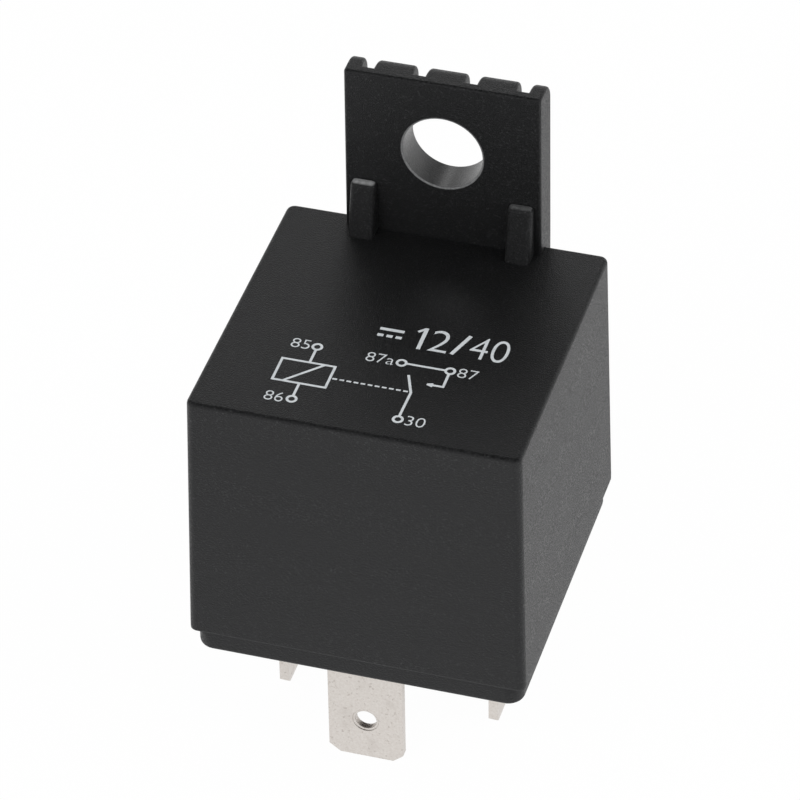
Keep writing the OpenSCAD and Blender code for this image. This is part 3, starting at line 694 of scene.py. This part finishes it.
steel = plated("zinc_plated_steel", (0.50, 0.50, 0.46, 1.0), (0.66, 0.66, 0.63, 1.0),
               grain=0.0004, stretch=(0.3, 3.0, 3.0), rough=0.30)
iron = plated("plated_soft_iron", (0.44, 0.44, 0.43, 1.0), (0.58, 0.58, 0.57, 1.0),
              grain=0.0003, stretch=(1, 1, 1), rough=0.34)
bronze = plated("spring_bronze", (0.58, 0.37, 0.17, 1.0), (0.76, 0.53, 0.28, 1.0),
                grain=0.0004, stretch=(4.0, 0.4, 0.4), rough=0.26)
brass = plated("rivet_brass", (0.56, 0.46, 0.22, 1.0), (0.73, 0.63, 0.36, 1.0),
               grain=0.0002, stretch=(1, 1, 1), rough=0.28)
silver = plated("contact_silver", (0.68, 0.68, 0.65, 1.0), (0.86, 0.86, 0.84, 1.0),
                grain=0.0003, stretch=(1, 1, 1), rough=0.22)
strip = plated("copper_strip", (0.50, 0.24, 0.13, 1.0), (0.68, 0.37, 0.22, 1.0),
               grain=0.0004, stretch=(0.4, 3.0, 0.4), rough=0.30)
for material, nodes in ((steel, ("yoke",)),
                        (iron, ("core", "armature")),
                        (nylon(), ("bobbin",)),
                        (wound_copper(), ("winding", "coil_lead_85", "coil_lead_86")),
                        (brass, ("armature_rivets", "yoke_rivets")),
                        (silver, ("moving_contact", "fixed_contact")),
                        (tin, ("rest_stop",)),
                        (strip, ("bridge_bar",))):
    for name in nodes:
        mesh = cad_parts[name].data
        mesh.materials.clear()
        mesh.materials.append(material)

# ---------------------------------------------------------------------------
# Contact spring: one strip of spring bronze, riveted to the yoke's back and
# to the armature. On the real relay its loop bends as the armature closes, the
# strip following the yoke below the loop and the armature beyond it; here it is
# one fixed piece in its CAD form.

leaf = piece("contact_spring_leaf", cleaned("contact_spring"))
leaf.data.materials.append(bronze)
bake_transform(leaf)
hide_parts("contact_spring")

# ---------------------------------------------------------------------------
# Floor, backdrop and light: a plain white floor that keeps the relay's shadow,
# a white horizon under a dim ceiling, and three soft boxes.

white = (1, 1, 1, 1)
floor_reach, floor_gap, floor_tone, floor_glow = 3.0, 0.00002, 0.88, 0.98
ceiling_tone, ceiling_from, ceiling_full, room_light = 0.12, 0.30, 0.62, 0.55
floor_mesh = bmesh.new()
bmesh.ops.create_grid(floor_mesh, x_segments=1, y_segments=1, size=floor_reach)
bmesh.ops.translate(floor_mesh, verts=floor_mesh.verts,
                    vec=(0, 0, cad_box[0][2] - floor_gap))
floor = piece("floor", floor_mesh, level=False)


def seen(recipe):
    """1 for rays that show the background: the camera's, and those in metal and glass."""
    camera, glossy, through = [
        recipe.node("ShaderNodeLightPath", {}, {}, name)
        for name in ("Is Camera Ray", "Is Glossy Ray", "Is Transmission Ray")]
    return camera.maths("MAXIMUM", camera, glossy.maths("MAXIMUM", glossy, through))


# The floor glows white where it is seen, all but the share that shows its shadow,
# and it is clear from below.
paint = Recipe(bpy.data.materials.new("floor_white"))
lit = paint.node("ShaderNodeBsdfDiffuse", {},
                 {"Color": (floor_tone, floor_tone, floor_tone, 1.0)})
glow = paint.node("ShaderNodeEmission", {}, {"Color": white, "Strength": 1.0})
above = paint.node("ShaderNodeMixShader", {},
                   {0: seen(paint) * floor_glow, 1: lit, 2: glow})
clear = paint.node("ShaderNodeBsdfTransparent", {}, {})
below = paint.node("ShaderNodeNewGeometry", {}, {}, "Backfacing")
surface = paint.node("ShaderNodeMixShader", {}, {0: below, 1: above, 2: clear})
floor.data.materials.append(paint.ends("ShaderNodeOutputMaterial", surface))

# The room lights the relay evenly; gloss mirrors the horizon and the ceiling.
world = Recipe(bpy.data.worlds.new("studio"))
bpy.context.scene.world = world.owner
upward = world.axis(world.node("ShaderNodeTexCoord", {}, {}, "Generated"), "Z")
ceiling = world.mixed(white, (ceiling_tone, ceiling_tone, ceiling_tone, 1),
                      upward.between(ceiling_from, ceiling_full))
direct = world.node("ShaderNodeLightPath", {}, {}, "Is Camera Ray")
shown = world.mixed(ceiling, white, direct)
backdrop = world.node("ShaderNodeBackground", {}, {"Color": shown, "Strength": 1.0})
room = world.node("ShaderNodeBackground", {}, {"Color": white, "Strength": room_light})
world.ends("ShaderNodeOutputWorld",
           world.node("ShaderNodeMixShader", {}, {0: seen(world), 1: room, 2: backdrop}))


def softbox(name, place, side, power, mirrored=False):
    """A square lamp aimed at the relay's middle; gloss shows it only if mirrored."""
    lamp = bpy.data.lights.new(name, "AREA")
    lamp.shape = "RECTANGLE"
    lamp.size, lamp.size_y = side, side
    lamp.energy = power
    thing = bpy.data.objects.new(name, lamp)
    thing.location = place
    aim = Vector((0.0, 0.0, 0.015)) - Vector(place)
    thing.rotation_euler = aim.to_track_quat("-Z", "Y").to_euler()
    thing.visible_glossy = mirrored
    bpy.context.scene.collection.objects.link(thing)


softbox("right_softbox", (0.45, -0.02, 0.18), side=0.30, power=1.5)
softbox("front_softbox", (-0.15, -0.45, 0.35), side=0.30, power=1.3)
softbox("rear_softbox", (-0.137, 0.447, 0.39), side=0.16, power=0.22, mirrored=True)

# ---------------------------------------------------------------------------
# Camera: a long lens from the front right, well above the cover and turned a
# degree about its own line of sight.

azimuth, elevation = math.radians(17.098), math.radians(38.830)
roll, distance, focal_length = math.radians(-1.020), 0.37977, 216.51
aim = Vector((0.000897, -0.003450, 0.020876))
out_way = Vector((math.sin(azimuth) * math.cos(elevation),
                  -math.cos(azimuth) * math.cos(elevation), math.sin(elevation)))
lens = bpy.data.cameras.new("camera")
lens.lens = focal_length
camera = bpy.data.objects.new("camera", lens)
camera.location = aim + out_way * distance
camera.rotation_euler = out_way.to_track_quat("Z", "Y").to_matrix().to_4x4().to_euler()
camera.rotation_euler.rotate_axis("Z", roll)
bpy.context.scene.collection.objects.link(camera)
bpy.context.scene.camera = camera
bpy.context.scene.view_settings.view_transform = "Standard"
